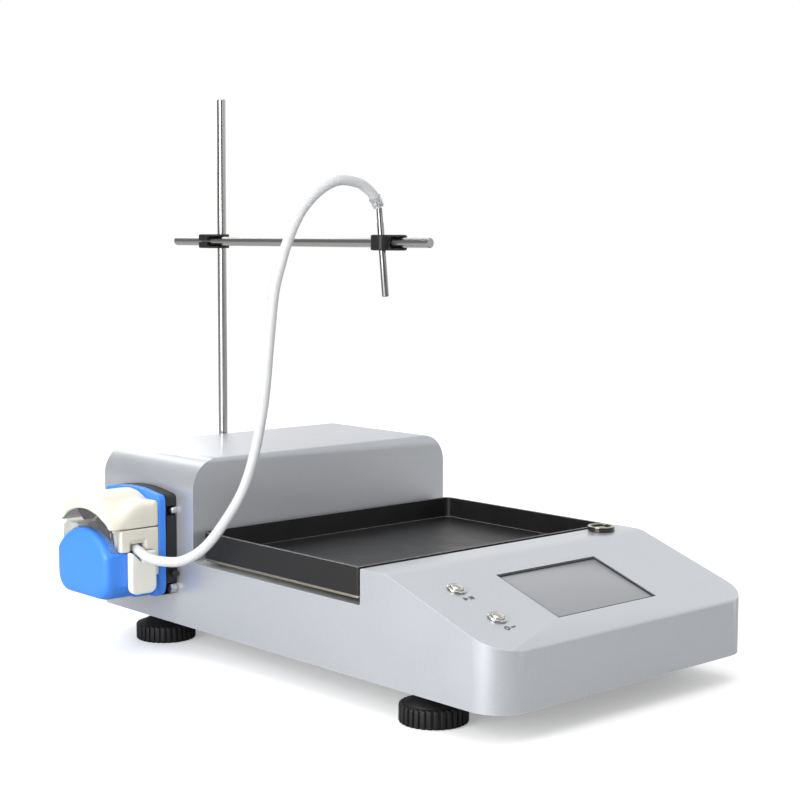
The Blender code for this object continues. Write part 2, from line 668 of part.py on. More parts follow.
def build_stand():
    x, y = MAST_XY
    low, high = MAST_Z
    length = high - low
    top = [(0.0, 0.0), (ROD_R, 0.0), (ROD_R, length - 1.6), (ROD_R - 1.0, length - 0.4), (0.0, length)]
    node("mast", lathe(top, 24, (x, y, low)), "steel")
    base = box((x - 14, 237.0, 108), (x + 14, 252.5, 150), 2.0, 2)
    base = minus(base, rod(ROD_R + GAP, (x, y, 100), (x, y, 160)))
    node("mast_bracket", base, "black")

    z0 = ARM_Z - CLIP_H / 2
    z1 = ARM_Z + CLIP_H / 2
    clip = box((-24.0, 231.0, z0), (-12.2, 259.0, z1), 0.8, 1)
    clip = plus(clip, rod(6.7, (x, y, z0), (x, y, z1), 32))
    clip = plus(clip, box((-15.0, y - 6.7, z0), (x, y + 6.7, z1)))
    clip = minus(clip, rod(ROD_R + GAP, (ARM_X, 200, ARM_Z), (ARM_X, 300, ARM_Z)))
    clip = minus(clip, box((-30.0, 225.0, ARM_Z - 4.3), (ARM_X, 246.5, ARM_Z + 4.3)))
    clip = minus(clip, box((-30.0, 246.0, ARM_Z - 0.7), (ARM_X, 265.0, ARM_Z + 0.7)))
    clip = minus(clip, rod(ROD_R + GAP, (x, y, z0 - 5), (x, y, z1 + 5)))
    node("mast_clip", clip, "black", (x, y, ARM_Z))

    span = ARM_Y[1] - ARM_Y[0]
    ends = [
        (0.0, 0.0), (2.2, 0.3), (3.5, 1.4), (ROD_R, 3.0), (ROD_R, span - 3.0), (3.5, span - 1.4),
        (2.2, span - 0.3), (0.0, span)
    ]
    node("cross_rod", lathe(ends, 20, (ARM_X, ARM_Y[0], ARM_Z), (0.0, 1.0, 0.0)), "steel")

    lean = Vector((-math.sin(NOZZLE_TILT), 0.0, math.cos(NOZZLE_TILT)))
    ref = Vector((NOZZLE_X, NOZZLE_Y, NOZZLE_REF_Z))
    foot = ref + lean * ((NOZZLE_Z[0] - NOZZLE_REF_Z) / lean.z)
    reach = (NOZZLE_Z[1] - NOZZLE_Z[0]) / lean.z
    clip = box((-23.8, -9.0, z0), (-12.0, 19.0, z1), 0.8, 1)
    barrel = rounded([(-30.8, 1.5), (-18.0, 1.5), (-18.0, 18.5), (-30.8, 18.5)], [4.5, 0, 0, 6.0], 5)
    clip = plus(clip, prism(barrel, "Z", z0, z1))
    clip = minus(clip, rod(ROD_R + GAP, (ARM_X, -60, ARM_Z), (ARM_X, 60, ARM_Z)))
    clip = minus(clip, box((-40.0, -15.0, ARM_Z - 4.3), (ARM_X, 1.0, ARM_Z + 4.3)))
    clip = minus(clip, rod(NOZZLE_R + GAP, ref - lean * 30, ref + lean * 30))
    node("nozzle_clip", clip, "black", (ARM_X, 5.0, ARM_Z))
    tube = [
        (1.6, 0.0), (NOZZLE_R - 0.3, 0.0), (NOZZLE_R, 0.4), (NOZZLE_R, reach - 12.0), (2.4, reach - 11.0),
        (2.4, reach), (1.6, reach)
    ]
    node("nozzle", lathe(tube, 16, foot, lean, True), "steel", tuple(ref))


# The hose rises from the pump outlet, loops over and drops onto the nozzle.
HOSE_R = 4.0
HOSE_ROUTE = [
    (-177.4, 130.7, 88.2),
    (-176.3, 116.0, 83.9),
    (-173.3, 99.0, 83.0),
    (-168.0, 81.0, 85.8),
    (-159.8, 64.0, 97.3),
    (-151.2, 48.8, 118.5),
    (-143.6, 34.6, 145.0),
    (-138.3, 26.3, 175.5),
    (-132.6, 22.2, 214.8),
    (-128.8, 20.5, 257.4),
    (-124.8, 19.2, 296.3),
    (-119.5, 17.8, 317.7),
    (-113.1, 16.4, 337.1),
    (-102.2, 14.5, 358.5),
    (-86.4, 12.0, 374.6),
    (-69.0, 9.8, 382.9),
    (-51.2, 8.4, 382.0),
    (-41.4, 7.7, 377.8),
    (-33.5, 7.5, 371.4),
    (-28.15, 7.5, 363.4),
]
HOSE_JOIN = 15
HOSE_GAP = 0.9


def smooth_route(points, each):
    """Catmull-Rom points through the route, each steps per span."""
    found = []
    count = len(points)
    for i in range(count - 1):
        p0 = Vector(points[max(i - 1, 0)])
        p1 = Vector(points[i])
        p2 = Vector(points[i + 1])
        p3 = Vector(points[min(i + 2, count - 1)])
        for k in range(each):
            t = k / each
            a = p1 * 2 + (p2 - p0) * t
            b = (p0 * 2 - p1 * 5 + p2 * 4 - p3) * (t * t)
            c = (p1 * 3 - p0 - p2 * 3 + p3) * (t * t * t)
            found.append((a + b + c) * 0.5)
    found.append(Vector(points[-1]))
    return found


def cord(name, points):
    data = bpy.data.curves.new(name, "CURVE")
    data.dimensions = "3D"
    data.bevel_depth = HOSE_R * MM
    data.bevel_resolution = 3
    data.use_fill_caps = True
    spline = data.splines.new("POLY")
    spline.points.add(len(points) - 1)
    for target, point in zip(spline.points, points):
        target.co = (*(point * MM), 1.0)
    data.materials.append(finish(name, "silicone"))
    obj = bpy.data.objects.new(name, data)
    bpy.context.scene.collection.objects.link(obj)
    obj.parent = FRAME


def build_hose():
    each = 3
    points = smooth_route(HOSE_ROUTE, each)
    join = HOSE_JOIN * each
    rise = points[: join + 1]
    drop = points[join:]
    step = (drop[1] - drop[0]).normalized()
    drop = [drop[0] + step * HOSE_GAP] + drop[1:]
    cord("hose_rise", rise)
    cord("hose_drop", drop)


clear_scene()
FRAME = bpy.data.objects.new("frame", None)
bpy.context.scene.collection.objects.link(FRAME)
FRAME.location = Vector(FRAME_SHIFT) * MM
build_housing()
build_panel_parts()
build_load_path()
build_feet()
build_drive()
build_pump_body()
build_cover()
build_tube_holders()
build_head_tube()
build_rotor()
build_stand()
build_hose()
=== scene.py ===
"""Looks of the gravimetric dispenser with its peristaltic pump head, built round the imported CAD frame."""

import json
import math

import bmesh
import bpy
from mathutils import Matrix, Vector

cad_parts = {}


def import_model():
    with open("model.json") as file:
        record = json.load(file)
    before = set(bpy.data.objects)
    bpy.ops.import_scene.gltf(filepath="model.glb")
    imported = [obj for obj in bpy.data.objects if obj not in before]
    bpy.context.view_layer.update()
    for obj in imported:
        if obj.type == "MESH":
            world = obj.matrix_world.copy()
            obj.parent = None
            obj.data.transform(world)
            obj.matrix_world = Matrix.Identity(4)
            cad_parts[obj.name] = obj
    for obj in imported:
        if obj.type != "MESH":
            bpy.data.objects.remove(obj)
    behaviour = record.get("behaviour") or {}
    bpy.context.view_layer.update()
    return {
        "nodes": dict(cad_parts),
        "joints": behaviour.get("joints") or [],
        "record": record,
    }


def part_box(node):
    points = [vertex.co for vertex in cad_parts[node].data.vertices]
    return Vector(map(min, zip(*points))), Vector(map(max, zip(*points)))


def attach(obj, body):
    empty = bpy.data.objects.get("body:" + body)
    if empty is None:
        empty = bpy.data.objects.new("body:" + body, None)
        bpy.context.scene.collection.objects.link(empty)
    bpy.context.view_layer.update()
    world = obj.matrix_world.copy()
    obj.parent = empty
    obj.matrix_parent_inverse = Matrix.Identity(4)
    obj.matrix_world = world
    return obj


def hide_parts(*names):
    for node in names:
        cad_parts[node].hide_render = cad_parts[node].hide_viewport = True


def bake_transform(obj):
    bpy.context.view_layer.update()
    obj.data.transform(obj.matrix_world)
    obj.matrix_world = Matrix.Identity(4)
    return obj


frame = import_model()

MM = 0.001
NODES = frame["nodes"]
BODY_OF = {node: body for body, nodes in frame["record"]["behaviour"]["bodies"].items() for node in nodes}
JOINTS = {joint["name"]: joint for joint in frame["joints"]}


def box_mm(name):
    """A node's corners in housing millimetres."""
    low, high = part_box(name)
    return local(low), local(high)


_low, _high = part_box("main_housing")
CENTRE = Vector(((_low[0] + _high[0]) / 2, (_low[1] + _high[1]) / 2, 0.0))


def local(point):
    """Row frame, metres, to housing millimetres: X and Y from the middle of the housing, Z from the floor."""
    return (Vector(point) - CENTRE) / MM


def world(point):
    return Vector(point) * MM + CENTRE


PLACE = Matrix.Translation(CENTRE) @ Matrix.Scale(MM, 4)

# ---------------------------------------------------------------- camera

CAMERA_AT = (-910.9, -983.1, 340.2)
CAMERA_TO = (-8.5, 3.5, 208.3)
CAMERA_ROLL = math.radians(0.23)
CAMERA_LENS = 74.76


def make_camera():
    """The camera at the photograph's viewing angle."""
    data = bpy.data.cameras.new("camera")
    data.lens = CAMERA_LENS
    data.sensor_width = 36.0
    data.clip_start = 0.05
    data.clip_end = 50.0
    camera = bpy.data.objects.new("camera", data)
    bpy.context.scene.collection.objects.link(camera)
    start = world(CAMERA_AT)
    aim = (world(CAMERA_TO) - start).to_track_quat("-Z", "Y")
    roll = Matrix.Rotation(CAMERA_ROLL, 4, "Z")
    camera.matrix_world = Matrix.Translation(start) @ aim.to_matrix().to_4x4() @ roll
    bpy.context.scene.camera = camera


make_camera()

# ---------------------------------------------------------------- hose

HOSE_R = 4.0
HOSE_ROUTE = [
    (-177.4, 130.7, 88.2),
    (-176.3, 116.0, 83.9),
    (-173.3, 99.0, 83.0),
    (-168.0, 81.0, 85.8),
    (-159.8, 64.0, 97.3),
    (-151.2, 48.8, 118.5),
    (-143.6, 34.6, 145.0),
    (-138.3, 26.3, 175.5),
    (-132.6, 22.2, 214.8),
    (-128.8, 20.5, 257.4),
    (-124.8, 19.2, 296.3),
    (-119.5, 17.8, 317.7),
    (-113.1, 16.4, 337.1),
    (-102.2, 14.5, 358.5),
    (-86.4, 12.0, 374.6),
    (-69.0, 9.8, 382.9),
    (-51.2, 8.4, 382.0),
    (-41.4, 7.7, 377.8),
    (-33.5, 7.5, 371.4),
    (-28.15, 7.5, 363.4),
]
HOSE_JOIN = 15
HOSE_STEPS = 8


def smooth_route(points, each):
    """Catmull-Rom points through the route, each steps per span."""
    found = []
    count = len(points)
    for i in range(count - 1):
        p0 = Vector(points[max(i - 1, 0)])
        p1 = Vector(points[i])
        p2 = Vector(points[i + 1])
        p3 = Vector(points[min(i + 2, count - 1)])
        for k in range(each):
            t = k / each
            a = p1 * 2 + (p2 - p0) * t
            b = (p0 * 2 - p1 * 5 + p2 * 4 - p3) * (t * t)
            c = (p1 * 3 - p0 - p2 * 3 + p3) * (t * t * t)
            found.append((a + b + c) * 0.5)
    found.append(Vector(points[-1]))
    return found


def tube_mesh(name, points, radius, sides=40):
    """A round tube through the points, its ends closed by flat caps."""
    bm = bmesh.new()
    rows = []
    across = Vector((1.0, 0.0, 0.0))
    last = len(points) - 1
    for i, point in enumerate(points):
        along = (points[min(i + 1, last)] - points[max(i - 1, 0)]).normalized()
        across = (across - along * across.dot(along)).normalized()
        side = along.cross(across)
        row = []
        for k in range(sides):
            t = 2 * math.pi * k / sides
            row.append(bm.verts.new(point + (across * math.cos(t) + side * math.sin(t)) * radius))
        rows.append(row)
    for low, high in zip(rows[:-1], rows[1:]):
        for k in range(sides):
            j = (k + 1) % sides
            bm.faces.new((low[k], low[j], high[j], high[k]))
    bm.faces.new(list(reversed(rows[0])))
    bm.faces.new(rows[-1])
    bmesh.ops.recalc_face_normals(bm, faces=bm.faces)
    return mesh_object(name, bm, 40)


def mesh_object(name, bm, sharp=35):
    """An object in the row frame from a bmesh in housing millimetres."""
    bm.transform(PLACE)
    mesh = bpy.data.meshes.new(name)
    bm.to_mesh(mesh)
    bm.free()
    for face in mesh.polygons:
        face.use_smooth = True
    mesh.set_sharp_from_angle(angle=math.radians(sharp))
    obj = bpy.data.objects.new(name, mesh)
    bpy.context.scene.collection.objects.link(obj)
    return obj


def make_hose():
    """The tube from the pump head to the nozzle, as two tube pieces that meet at one point of the route."""
    points = smooth_route(HOSE_ROUTE, HOSE_STEPS)
    join = HOSE_JOIN * HOSE_STEPS
    rise = points[: join + 1]
    drop = points[join:]
    hoses = []
    for name, part, node, bodies in (
        ("hose_lower", rise, "hose_rise", ("housing", "arm")),
        ("hose_upper", drop, "hose_drop", ("arm", "nozzle_carrier")),
    ):
        obj = tube_mesh(name, part, HOSE_R)
        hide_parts(node)
        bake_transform(obj)
        hoses.append(obj)
    return hoses


HOSES = make_hose()

# ---------------------------------------------------------------- materials


class Graph:
    """Builds one node material."""

    def __init__(self, name):
        self.material = bpy.data.materials.new(name)
        self.material.use_nodes = True
        self.tree = self.material.node_tree
        self.shader = self.tree.nodes["Principled BSDF"]
        self.coords = self.tree.nodes.new("ShaderNodeTexCoord").outputs["Object"]

    def put(self, kind, values=(), **settings):
        made = self.tree.nodes.new(kind)
        for key, value in settings.items():
            setattr(made, key, value)
        for key, value in dict(values).items():
            self.feed(made.inputs[key], value)
        return made

    def feed(self, socket, value):
        if isinstance(value, bpy.types.NodeSocket):
            self.tree.links.new(value, socket)
        else:
            socket.default_value = value

    def stretched(self, stretch):
        if stretch == (1, 1, 1):
            return self.coords
        made = self.put("ShaderNodeMapping", {"Vector": self.coords, "Scale": stretch})
        return made.outputs["Vector"]

    def noise(self, scale, detail=3.0, stretch=(1, 1, 1)):
        values = {"Vector": self.stretched(stretch), "Scale": scale, "Detail": detail}
        made = self.put("ShaderNodeTexNoise", values)
        return made.outputs["Fac"]

    def cells(self, scale, stretch=(1, 1, 1)):
        made = self.put("ShaderNodeTexVoronoi", {"Vector": self.stretched(stretch), "Scale": scale})
        return made

    def span(self, value, low, high, start=0.0, end=1.0):
        made = self.put(
            "ShaderNodeMapRange",
            {"Value": value, "From Min": start, "From Max": end, "To Min": low, "To Max": high},
        )
        return made.outputs["Result"]

    def blend(self, factor, a, b, mode="MIX"):
        made = self.put("ShaderNodeMix", data_type="RGBA", blend_type=mode)
        self.feed(made.inputs["Factor"], factor)
        for socket, value in zip([s for s in made.inputs if s.type == "RGBA"], (a, b)):
            self.feed(socket, value if isinstance(value, bpy.types.NodeSocket) else (*value, 1.0))
        return [s for s in made.outputs if s.type == "RGBA"][0]

    def calc(self, operation, a, b):
        made = self.put("ShaderNodeMath", operation=operation)
        self.feed(made.inputs[0], a)
        self.feed(made.inputs[1], b)
        return made.outputs["Value"]

    def edges(self, radius, low=0.02, high=0.25):
        """About 1 along sharp edges and 0 elsewhere."""
        bevel = self.put("ShaderNodeBevel", {"Radius": radius}, samples=4)
        flat = self.put("ShaderNodeNewGeometry").outputs["Normal"]
        dot = self.put("ShaderNodeVectorMath", operation="DOT_PRODUCT")
        self.feed(dot.inputs[0], bevel.outputs["Normal"])
        self.feed(dot.inputs[1], flat)
        return self.span(dot.outputs["Value"], 1.0, 0.0, 1.0 - high, 1.0 - low)

    def relief(self, height, distance, strength=1.0, under=None):
        values = {"Height": height, "Distance": distance, "Strength": strength}
        if under is not None:
            values["Normal"] = under
        return self.put("ShaderNodeBump", values).outputs["Normal"]

    def set(self, **values):
        for key, value in values.items():
            self.feed(self.shader.inputs[key.replace("_", " ")], value)
        return self.material


def tone(colour, factor):
    """A lighter or darker colour."""
    return tuple(min(c * factor, 1.0) for c in colour)


# How far in from a sharp edge the edges are painted lighter (wear and painted highlight), in metres.
PAINT_EDGE = 0.0011
PLASTIC_EDGE = 0.0007
METAL_EDGE = 0.0005


def paint(name, colour, rough=0.34, metallic=0.6, flake=0.10, peel=0.00005, coat=0.3, wear_and_edge_highlight=0.8):
    """Sprayed metallic paint: fine flakes, orange peel, and edges painted lighter as a painted highlight."""
    g = Graph(name)
    flakes = g.cells(2600.0).outputs["Color"]
    level = g.put("ShaderNodeSeparateColor", {"Color": flakes}).outputs["Red"]
    body = g.blend(g.noise(9.0, 4.0), tone(colour, 0.97), tone(colour, 1.03))
    sparkle = g.blend(level, tone(colour, 1 - flake), tone(colour, 1 + flake))
    mixed = g.blend(0.45, body, sparkle)
    # Sharp edges blended towards a lighter tone: a painted highlight.
    final = g.blend(g.calc("MULTIPLY", g.edges(PAINT_EDGE), wear_and_edge_highlight), mixed, tone(colour, 1.5))
    uneven = g.span(g.noise(30.0, 5.0), rough - 0.04, rough + 0.05, 0.3, 0.7)
    bump = g.relief(g.noise(420.0, 2.0), peel)
    bump = g.relief(level, peel * 0.25, 1.0, bump)
    g.set(Base_Color=final, Metallic=metallic, Roughness=uneven, Normal=bump)
    return g.set(Coat_Weight=coat, Coat_Roughness=0.12)


def plastic(
    name,
    colour,
    rough=0.42,
    grain=1400.0,
    depth=0.00003,
    soft=0.0,
    coat=0.0,
    wear_and_edge_highlight=0.15,
    vary=0.05,
    rim=None,
    shine=0.5,
):
    """Moulded plastic with a spark-eroded grain, faint flow marks and slightly polished edges painted
    lighter, partly wear and partly a painted highlight.
    """
    g = Graph(name)
    flow = g.noise(14.0, 3.0, (1.0, 1.0, 0.35))
    body = g.blend(flow, tone(colour, 1 - vary), tone(colour, 1 + vary))
    dust = g.span(g.noise(90.0, 6.0), 0.0, 0.05, 0.55, 0.8)
    body = g.blend(dust, body, tone(colour, 1.25))
    edge = g.edges(PLASTIC_EDGE)
    # Edges blended towards the rim colour: partly wear, partly a painted highlight.
    final = g.blend(g.calc("MULTIPLY", edge, wear_and_edge_highlight), body, rim or tone(colour, 1.5))
    uneven = g.span(g.noise(45.0, 4.0), rough - 0.05, rough + 0.06, 0.3, 0.7)
    uneven = g.calc("SUBTRACT", uneven, g.calc("MULTIPLY", edge, 0.12))
    grainy = g.cells(grain).outputs["Distance"]
    bump = g.relief(grainy, depth)
    bump = g.relief(g.noise(grain * 0.3, 2.0), depth * 0.8, 1.0, bump)
    g.set(Base_Color=final, Roughness=uneven, Normal=bump, Coat_Weight=coat, Coat_Roughness=0.1)
    g.set(Specular_IOR_Level=shine)
    if soft > 0:
        g.set(Subsurface_Weight=soft, Subsurface_Radius=(0.004, 0.003, 0.002), Subsurface_Scale=0.5)
    return g.material


def metal(
    name, colour, rough=0.25, stretch=(1, 1, 1), lines=700.0, depth=0.00002, smudge=0.06, wear_and_edge_highlight=0.25, vary=0.10
):
    """Bare metal with drawing or turning lines and faint finger smudges."""
    g = Graph(name)
    fine = g.noise(lines, 4.0, stretch)
    body = g.blend(fine, tone(colour, 1 - vary), tone(colour, 1 + vary / 2))
    stain = g.span(g.noise(22.0, 5.0), 0.0, vary, 0.45, 0.75)
    body = g.blend(stain, body, tone(colour, 0.75))
    final = body
    # Edges blended towards a lighter tone: partly wear, partly a painted highlight.
    if wear_and_edge_highlight:
        final = g.blend(g.calc("MULTIPLY", g.edges(METAL_EDGE), wear_and_edge_highlight), body, tone(colour, 1.4))
    uneven = g.span(fine, rough - 0.05, rough + 0.07, 0.3, 0.7)
    uneven = g.calc("ADD", uneven, g.span(g.noise(35.0, 3.0), 0.0, smudge, 0.5, 0.8))
    bump = g.relief(fine, depth)
    return g.set(Base_Color=final, Metallic=1.0, Roughness=uneven, Normal=bump)


def clear(name, colour, rough=0.08, transmission=0.9, ior=1.46, haze=0.03):
    """See-through moulding with slightly uneven gloss."""
    g = Graph(name)
    cloud = g.noise(40.0, 4.0)
    body = g.blend(cloud, tone(colour, 0.97), colour)
    uneven = g.span(g.noise(60.0, 5.0), rough, rough + haze, 0.4, 0.7)
    bump = g.relief(g.noise(60.0, 2.0), 0.00001)
    return g.set(Base_Color=body, Roughness=uneven, Normal=bump, Transmission_Weight=transmission, IOR=ior)


def silicone(name):
    """Milky tubing: soft scatter, a faint unevenness and a cloudy tone."""
    g = Graph(name)
    colour = (0.66, 0.67, 0.68)
    cloud = g.noise(35.0, 4.0)
    body = g.blend(cloud, tone(colour, 0.96), tone(colour, 1.04))
    uneven = g.span(g.noise(80.0, 4.0), 0.30, 0.42, 0.3, 0.7)
    bump = g.relief(g.noise(260.0, 3.0), 0.00002)
    g.set(Base_Color=body, Roughness=uneven, Normal=bump, IOR=1.41)
    return g.set(Subsurface_Weight=0.3, Subsurface_Radius=(0.003, 0.003, 0.003), Subsurface_Scale=0.5)


SCREEN_FADE = (-0.27, -0.15)  # row Y over which the grey is painted lighter, a painted reflection


def glass_screen(name):
    """Switched-off touch screen: grey film under glass, a slow lighter gradient that is a painted reflection,
    faint wiped smears.
    """
    g = Graph(name)
    grey = (0.31, 0.32, 0.335)
    split = g.put("ShaderNodeSeparateXYZ", {"Vector": g.coords})
    # The grey is painted lighter along Y: a painted reflection on the glass.
    along = g.span(split.outputs["Y"], 0.0, 1.0, *SCREEN_FADE)
    body = g.blend(along, tone(grey, 0.92), tone(grey, 1.08))
    smear = g.span(g.noise(16.0, 5.0, (1.0, 3.0, 3.0)), 0.0, 0.25, 0.5, 0.75)
    body = g.blend(smear, body, tone(grey, 1.12))
    pixels = g.cells(1500.0).outputs["Distance"]
    body = g.blend(g.span(pixels, 0.0, 0.06), body, tone(grey, 0.8))
    uneven = g.span(smear, 0.30, 0.40, 0.0, 0.25)
    bump = g.relief(g.noise(24.0, 2.0), 0.00004)
    g.set(Base_Color=body, Roughness=uneven, Normal=bump, Specular_IOR_Level=0.4)
    return g.set(Coat_Weight=0.15, Coat_Roughness=0.1)


SILVER = (0.58, 0.60, 0.635)
BLUE = (0.050, 0.262, 0.90)
CREAM = (0.765, 0.742, 0.64)
PALE_CREAM = (0.88, 0.865, 0.80)
BLACK = (0.009, 0.009, 0.010)
STEEL = (0.50, 0.495, 0.48)
CHROME = (0.60, 0.60, 0.575)
BRONZE = (0.46, 0.45, 0.38)
# Light grey for the tray's rim edges: a painted highlight.
PAINTED_RIM_HIGHLIGHT = (0.55, 0.55, 0.56)

# Drawn steel: fine lines along the rod, with hardly any relief and no lightened edges (no wear, no painted
# highlight).
DRAWN = {"lines": 160.0, "depth": 0.0000001, "smudge": 0.02, "wear_and_edge_highlight": 0, "vary": 0.03}
UP_LINES = (1, 1, 0.02)
ACROSS_LINES = (1, 0.02, 1)


def make_materials():
    """Every finish by its short name."""
    return {
        "silver": paint("silver_paint", SILVER),
        "silver_dull": paint("silver_paint_inner", tone(SILVER, 0.85), 0.45, 0.5, coat=0.0),
        "tray": plastic(
            "tray_powder_coat",
            (0.007, 0.007, 0.0075),
            0.38,
            900.0,
            0.000004,
            wear_and_edge_highlight=1.0,
            vary=0.0,
            rim=PAINTED_RIM_HIGHLIGHT,
        ),
        "blue": plastic("blue_plastic", BLUE, 0.36, soft=0.08),
        "cream": plastic("cream_plastic", CREAM, 0.42, soft=0.12, vary=0.02),
        "cream_clamp": plastic("cream_clamp_plastic", PALE_CREAM, 0.34, soft=0.12, vary=0.02, coat=0.15),
        # Dark brown on the occlusion bed: painted shade for the inside of the pump head.
        "bed": plastic("shaded_bed_plastic", (0.030, 0.024, 0.018), 0.5, 700.0, vary=0.10),
        "black": plastic("black_plastic", BLACK, 0.45, wear_and_edge_highlight=0.5, rim=(0.06, 0.06, 0.062)),
        "black_rough": plastic(
            "black_ribbed_plastic",
            tone(BLACK, 0.8),
            0.5,
            800.0,
            0.00004,
            wear_and_edge_highlight=0.6,
            rim=(0.05, 0.05, 0.05),
            shine=0.4,
        ),
        # Dark brown-black on the rotor and rollers: partly their own dark plastic, partly painted shade
        # inside the pump head.
        "black_dark": plastic("dark_acetal_and_shade", (0.035, 0.03, 0.026), 0.36, wear_and_edge_highlight=0.6),
        "rod": metal("drawn_stainless_upright", STEEL, 0.22, UP_LINES, **DRAWN),
        "rod_cross": metal("drawn_stainless_cross", STEEL, 0.22, ACROSS_LINES, **DRAWN),
        "nozzle": metal("nozzle_stainless", tone(STEEL, 0.62), 0.20, UP_LINES, **DRAWN),
        "chrome": metal("polished_chrome", CHROME, 0.10, lines=900.0, depth=0.000002, wear_and_edge_highlight=0, vary=0.03),
        "zinc": metal("zinc_plate", (0.62, 0.63, 0.64), 0.34, lines=300.0),
        "brass": metal("yellow_passivated", (0.40, 0.36, 0.27), 0.38, lines=260.0, wear_and_edge_highlight=0.9),
        "bronze": metal("level_rim", BRONZE, 0.15, lines=500.0, depth=0.000002, wear_and_edge_highlight=0.3, vary=0.03),
        "alu": metal("machined_aluminium", (0.70, 0.71, 0.73), 0.36, (1, 8, 8), 300.0),
        "dark_metal": metal("black_oxide", (0.05, 0.05, 0.052), 0.38, lines=400.0),
        "clear": clear("clear_moulding", (0.97, 0.98, 0.985), 0.03, 0.97, 1.25, 0.02),
        "vial": clear("level_vial", (0.62, 0.70, 0.30), 0.03, 0.8),
        "vial_dark": plastic("level_cup", (0.012, 0.012, 0.008), 0.25, 700.0, coat=0.4),
        "silicone": silicone("silicone_tube"),
        "screen": glass_screen("touch_screen"),
        # Black lining of the screen opening: partly a gasket, partly painted shade of the recess.
        "gasket_and_shade": plastic("screen_gasket_and_shade_line", (0.010, 0.010, 0.011), 0.45, 900.0, wear_and_edge_highlight=0.3),
        "board": plastic("solder_mask", (0.015, 0.16, 0.06), 0.35, 500.0),
        "print": plastic("dark_print", (0.10, 0.10, 0.105), 0.5, 600.0),
    }


M = make_materials()

NODE_LOOK = {
    "main_housing": "silver",
    "base_plate": "silver_dull",
    "rear_panel": "silver_dull",
    "screen_glass": "screen",
    "display_module": "black",
    "weighing_tray": "tray",
    "pan_support": "brass",
    "load_cell": "alu",
    "load_cell_base": "zinc",
    "stepper_motor": "dark_metal",
    "power_supply": "alu",
    "control_board": "board",
    "power_inlet": "black",
    "mast_bracket": "black",
    "mast": "rod",
    "pump_mount_plate": "black",
    "mount_nut": "zinc",
    "mount_screw": "zinc",
    "mount_knob": "black",
    "pump_rear_body": "blue",
    "pump_front_cover": "blue",
    "clear_window": "clear",
    "flip_cover": "cream",
    "occlusion_bed": "bed",
    "tube_holder_outlet": "cream",
    "tube_holder_inlet": "cream",
    "tube_clamp_outlet": "cream_clamp",
    "tube_clamp_inlet": "cream_clamp",
    "head_tube": "silicone",
    "rotor": "black_dark",
    "mast_clip": "black",
    "cross_rod": "rod_cross",
    "nozzle_clip": "black",
    "nozzle": "nozzle",
}
for key in ("front_left", "front_right", "rear_left", "rear_right"):
    NODE_LOOK["foot_nut_" + key] = "zinc"
for key in "abcd":
    NODE_LOOK["roller_" + key] = "black_dark"

# Edge rounding, in millimetres, of the CAD nodes that stay in view.
NODE_BEVEL = {
    "main_housing": 0.5,
    "base_plate": 0.3,
    "weighing_tray": 0.8,
    "pump_mount_plate": 0.6,
    "power_inlet": 0.4,
    "mast_bracket": 0.4,
    "screen_glass": 0.15,
}


SMOOTH_ANGLE = math.radians(32)
BEVEL_ANGLE = math.radians(35)


def shading_group():
    """Geometry nodes that weld a faceted solid and shade its gentle edges smooth."""
    group = bpy.data.node_groups.new("shade_by_angle", "GeometryNodeTree")
    for way in ("INPUT", "OUTPUT"):
        group.interface.new_socket("Geometry", in_out=way, socket_type="NodeSocketGeometry")
    start = group.nodes.new("NodeGroupInput")
    end = group.nodes.new("NodeGroupOutput")
    weld = group.nodes.new("GeometryNodeMergeByDistance")
    weld.inputs["Distance"].default_value = 0.01 * MM
    steep = group.nodes.new("FunctionNodeCompare")
    steep.operation = "GREATER_THAN"
    steep.inputs[1].default_value = SMOOTH_ANGLE
    angle = group.nodes.new("GeometryNodeInputMeshEdgeAngle")
    shade = group.nodes.new("GeometryNodeSetMeshNormal")
    group.links.new(start.outputs[0], weld.inputs["Geometry"])
    group.links.new(weld.outputs["Geometry"], shade.inputs["Mesh"])
    group.links.new(angle.outputs["Unsigned Angle"], steep.inputs[0])
    group.links.new(steep.outputs["Result"], shade.inputs["Edge Sharpness"])
    group.links.new(shade.outputs["Mesh"], end.inputs[0])
    return group


SHADING = shading_group()


def soften(obj, width):
    """Rounds an object's sharp edges by width millimetres and shades the rest smooth."""
    weld = obj.modifiers.new("weld", "NODES")
    weld.node_group = SHADING
    if width:
        bevel = obj.modifiers.new("soft_edges", "BEVEL")
        bevel.width = width * MM
        bevel.segments = 3
        bevel.limit_method = "ANGLE"
        bevel.angle_limit = BEVEL_ANGLE
        bevel.use_clamp_overlap = True
        shade = obj.modifiers.new("shade", "NODES")
        shade.node_group = SHADING


CORNER_PASSES = 160
CORNER_REACH = 22.0
CORNER_FOOT = 2.5
CORNER_FRONT = 0.3
CORNER_BACK = 4.0
COVER_WALL = 3.0
COVER_R = 45.0


def relax(bm, verts, passes):
    """Evens out a skin by moving each vertex towards its neighbours."""
    for _ in range(passes):
        bmesh.ops.smooth_vert(bm, verts=verts, factor=0.5, use_axis_x=True, use_axis_y=True, use_axis_z=True)


def cover_corners(bm):
    """The outer skin of the flip cover round its two front corners, where the arch runs into the sides."""
    low, high = box_mm("flip_cover")
    axis = Vector(JOINTS["rotor_spin"]["pos_m"])
    middle = local(axis)
    found = []
    for vert in bm.verts:
        x, y, z = local(vert.co)
        out = math.hypot(y - middle.y, z - middle.z)
        outer = out > COVER_R - COVER_WALL / 2 or x < low.x + COVER_WALL / 2
        near_side = min(y - low.y, high.y - y)
        in_reach = near_side < CORNER_REACH and z > low.z + CORNER_FOOT
        if outer and in_reach and low.x + CORNER_FRONT < x < high.x - CORNER_BACK:
            found.append(vert)
    return found


